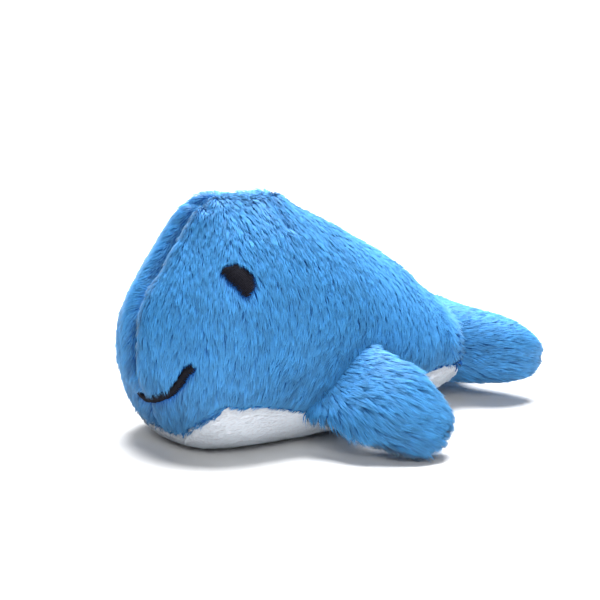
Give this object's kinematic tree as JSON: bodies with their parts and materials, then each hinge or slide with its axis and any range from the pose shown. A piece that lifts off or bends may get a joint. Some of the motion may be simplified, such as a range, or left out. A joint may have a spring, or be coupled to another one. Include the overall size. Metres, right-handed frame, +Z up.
{
  "type": "plush whale cat toy",
  "caption": "Stuffed plush whale for a cat to bite and carry, with a white belly, embroidered face, catnip inside, and soft side fins and tail fluke that flex at their seams.",
  "frame": {"origin": "on the flat of the belly, on the whale's centre plane, under the thickest part of the body", "axes": "+Z up out of the whale's back, -Y towards the nose, +Y towards the tail, +X to the whale's left"},
  "size_m": [0.1072, 0.1221, 0.067],
  "materials": {
    "blue_plush": "short clumped pile, matte with a soft sheen",
    "white_plush": "short even pile, matte",
    "polyester_filling": "loose fibre, matte",
    "sachet_cloth": "plain weave, matte",
    "dried_catnip": "dried leaf, matte",
    "black_thread": "satin stitch, slight sheen",
    "blue_thread": "twisted sewing thread, slight sheen"
  },
  "bodies": {
    "body": {"left_side_panel": "blue_plush", "right_side_panel": "blue_plush", "belly_panel": "white_plush", "body_filling": "polyester_filling", "sachet_upper_ply": "sachet_cloth", "sachet_lower_ply": "sachet_cloth", "dried_catnip": "dried_catnip", "left_eye_embroidery": "black_thread", "right_eye_embroidery": "black_thread", "left_smile_embroidery": "black_thread", "right_smile_embroidery": "black_thread", "centre_seam_thread": "blue_thread", "left_belly_seam_thread": "blue_thread", "right_belly_seam_thread": "blue_thread", "left_fin_seam_thread": "blue_thread", "right_fin_seam_thread": "blue_thread", "tail_seam_thread": "blue_thread"},
    "left_fin": {"left_fin_upper_panel": "blue_plush", "left_fin_lower_panel": "blue_plush", "left_fin_filling": "polyester_filling"},
    "right_fin": {"right_fin_upper_panel": "blue_plush", "right_fin_lower_panel": "blue_plush", "right_fin_filling": "polyester_filling"},
    "tail": {"tail_upper_panel": "blue_plush", "tail_lower_panel": "blue_plush", "tail_filling": "polyester_filling"}
  },
  "joints": [
    {"name": "left_fin_flap", "type": "hinge", "parent": "body", "child": "left_fin", "pos_m": [0.02994, 0.00328, 0.01852], "axis": [-0.0053, -0.7902, -0.6129], "range_deg": [-3.5, 30], "stiffness_Nm_per_rad": 0.012},
    {"name": "right_fin_flap", "type": "hinge", "parent": "body", "child": "right_fin", "pos_m": [-0.02994, 0.00328, 0.01852], "axis": [-0.0053, 0.7902, 0.6129], "range_deg": [-3.5, 30], "stiffness_Nm_per_rad": 0.012},
    {"name": "tail_flap", "type": "hinge", "parent": "body", "child": "tail", "pos_m": [0, 0.054, 0.0166], "axis": [1, 0, 0], "range_deg": [-10, 30], "stiffness_Nm_per_rad": 0.04}
  ]
}
